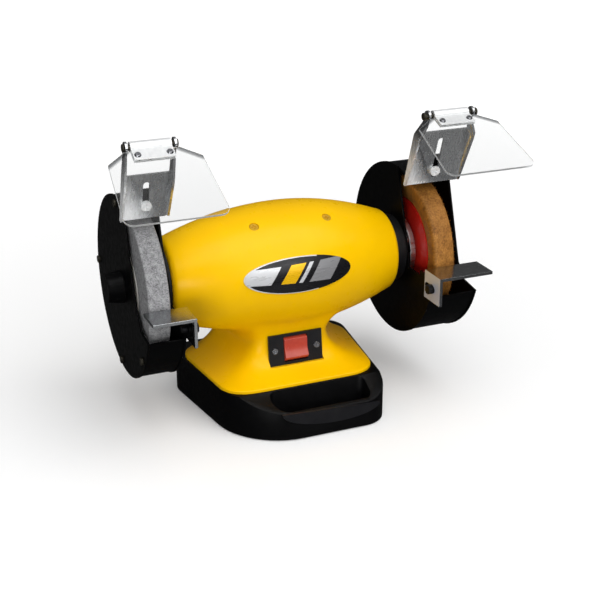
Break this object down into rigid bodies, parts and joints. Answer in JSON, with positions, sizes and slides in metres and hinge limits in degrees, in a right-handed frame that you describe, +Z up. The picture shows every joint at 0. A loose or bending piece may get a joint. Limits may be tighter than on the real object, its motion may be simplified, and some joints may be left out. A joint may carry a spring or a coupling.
{
  "type": "bench grinder",
  "caption": "Two-wheel electric bench grinder: yellow motor housing on a black base, a grinding wheel and a wire wheel in guards, clear eye shields, tool rests and a rocker switch.",
  "frame": {"origin": "centre of the four bench bolts, on the bench surface under the feet", "axes": "+X along the shaft to the wire wheel, -Y to the front where the user stands, +Z up"},
  "size_m": [0.377, 0.2385, 0.2999],
  "materials": {
    "black_plastic": "moulded, satin",
    "dark_cast": "cast, painted dark",
    "yellow_paint": "cast, gloss paint",
    "black_paint": "pressed sheet, black paint",
    "zinc": "zinc-plated sheet",
    "steel": "machined",
    "screw_steel": "plated",
    "sheet_steel": "plain sheet",
    "laminations": "stacked sheet",
    "copper": "varnished winding",
    "rotor_cast": "cast",
    "capacitor_can": "drawn can",
    "terminal_cream": "moulded",
    "wire_blue": "insulated wire",
    "rubber": "moulded",
    "badge": "printed plate",
    "rocker_red": "translucent moulding",
    "abrasive": "bonded grit",
    "paper": "card",
    "red_paint": "gloss paint",
    "brass_wire": "crimped coated wire",
    "clear": "clear sheet"
  },
  "bodies": {
    "frame": {"plinth": "black_plastic", "bottom_plate": "sheet_steel", "rubber_feet": "rubber", "plate_screws": "screw_steel", "cord_gland": "black_plastic", "housing": "yellow_paint", "housing_screws": "screw_steel", "badge_plate": "badge", "end_bells": "dark_cast", "bell_screws": "screw_steel", "stator_core": "laminations", "stator_windings": "copper", "capacitor": "capacitor_can", "capacitor_clip": "sheet_steel", "terminal_block": "terminal_cream", "lead_wires": "wire_blue", "switch_frame": "black_plastic", "switch_body": "black_plastic", "switch_screws": "screw_steel", "outer_races": "steel", "preload_washer": "steel", "guard_left": "black_paint", "guard_right": "black_paint", "cover_left": "black_paint", "cover_right": "black_paint", "guard_screws": "screw_steel", "cover_screws": "screw_steel", "bracket_screws": "screw_steel"},
    "rotor": {"shaft": "steel", "rotor_core": "laminations", "rotor_rings": "rotor_cast", "cooling_fan": "black_plastic", "inner_races": "steel", "ball_cages": "steel", "grinding_wheel": "abrasive", "paper_blotters": "paper", "wheel_flanges": "steel", "arbor_nuts": "steel", "wire_hub": "steel", "wire_plates": "red_paint", "wire_bristles": "brass_wire"},
    "switch_rocker": {"rocker": "rocker_red"},
    "left_bracket": {"bracket_left": "zinc", "hinge_rod_left": "screw_steel"},
    "right_bracket": {"bracket_right": "zinc", "hinge_rod_right": "screw_steel"},
    "left_shield": {"shield_left": "clear", "shield_clip_left": "zinc", "shield_rivets_left": "screw_steel"},
    "right_shield": {"shield_right": "clear", "shield_clip_right": "zinc", "shield_rivets_right": "screw_steel"},
    "left_rest": {"rest_left": "zinc"},
    "right_rest": {"rest_right": "zinc"},
    "left_knob": {"rest_knob_left": "black_plastic"},
    "right_knob": {"rest_knob_right": "black_plastic"}
  },
  "joints": [
    {"name": "rotor_spin", "type": "hinge", "parent": "frame", "child": "rotor", "pos_m": [0, 0, 0.144], "axis": [1, 0, 0], "continuous": true},
    {"name": "rocker_tilt", "type": "hinge", "parent": "frame", "child": "switch_rocker", "pos_m": [0.001, -0.03402, 0.06863], "axis": [1, 0, 0], "range_deg": [0, 16]},
    {"name": "left_bracket_slide", "type": "slide", "parent": "frame", "child": "left_bracket", "axis": [0, -0.309, 0.9511], "range_m": [-0.008, 0.004]},
    {"name": "left_shield_tilt", "type": "hinge", "parent": "left_bracket", "child": "left_shield", "pos_m": [-0.144, -0.06854, 0.29449], "axis": [1, 0, 0], "range_deg": [-60, 15]},
    {"name": "left_rest_slide", "type": "slide", "parent": "frame", "child": "left_rest", "axis": [0, 1, 0], "range_m": [-0.01, 0.002]},
    {"name": "left_knob_turn", "type": "hinge", "parent": "frame", "child": "left_knob", "pos_m": [-0.12, -0.092, 0.132], "axis": [1, 0, 0], "range_deg": [-180, 180]},
    {"name": "right_bracket_slide", "type": "slide", "parent": "frame", "child": "right_bracket", "axis": [0, -0.309, 0.9511], "range_m": [-0.008, 0.004]},
    {"name": "right_shield_tilt", "type": "hinge", "parent": "right_bracket", "child": "right_shield", "pos_m": [0.144, -0.06854, 0.29449], "axis": [1, 0, 0], "range_deg": [-60, 15]},
    {"name": "right_rest_slide", "type": "slide", "parent": "frame", "child": "right_rest", "axis": [0, 1, 0], "range_m": [-0.01, 0.002]},
    {"name": "right_knob_turn", "type": "hinge", "parent": "frame", "child": "right_knob", "pos_m": [0.12, -0.092, 0.132], "axis": [1, 0, 0], "range_deg": [-180, 180]}
  ]
}
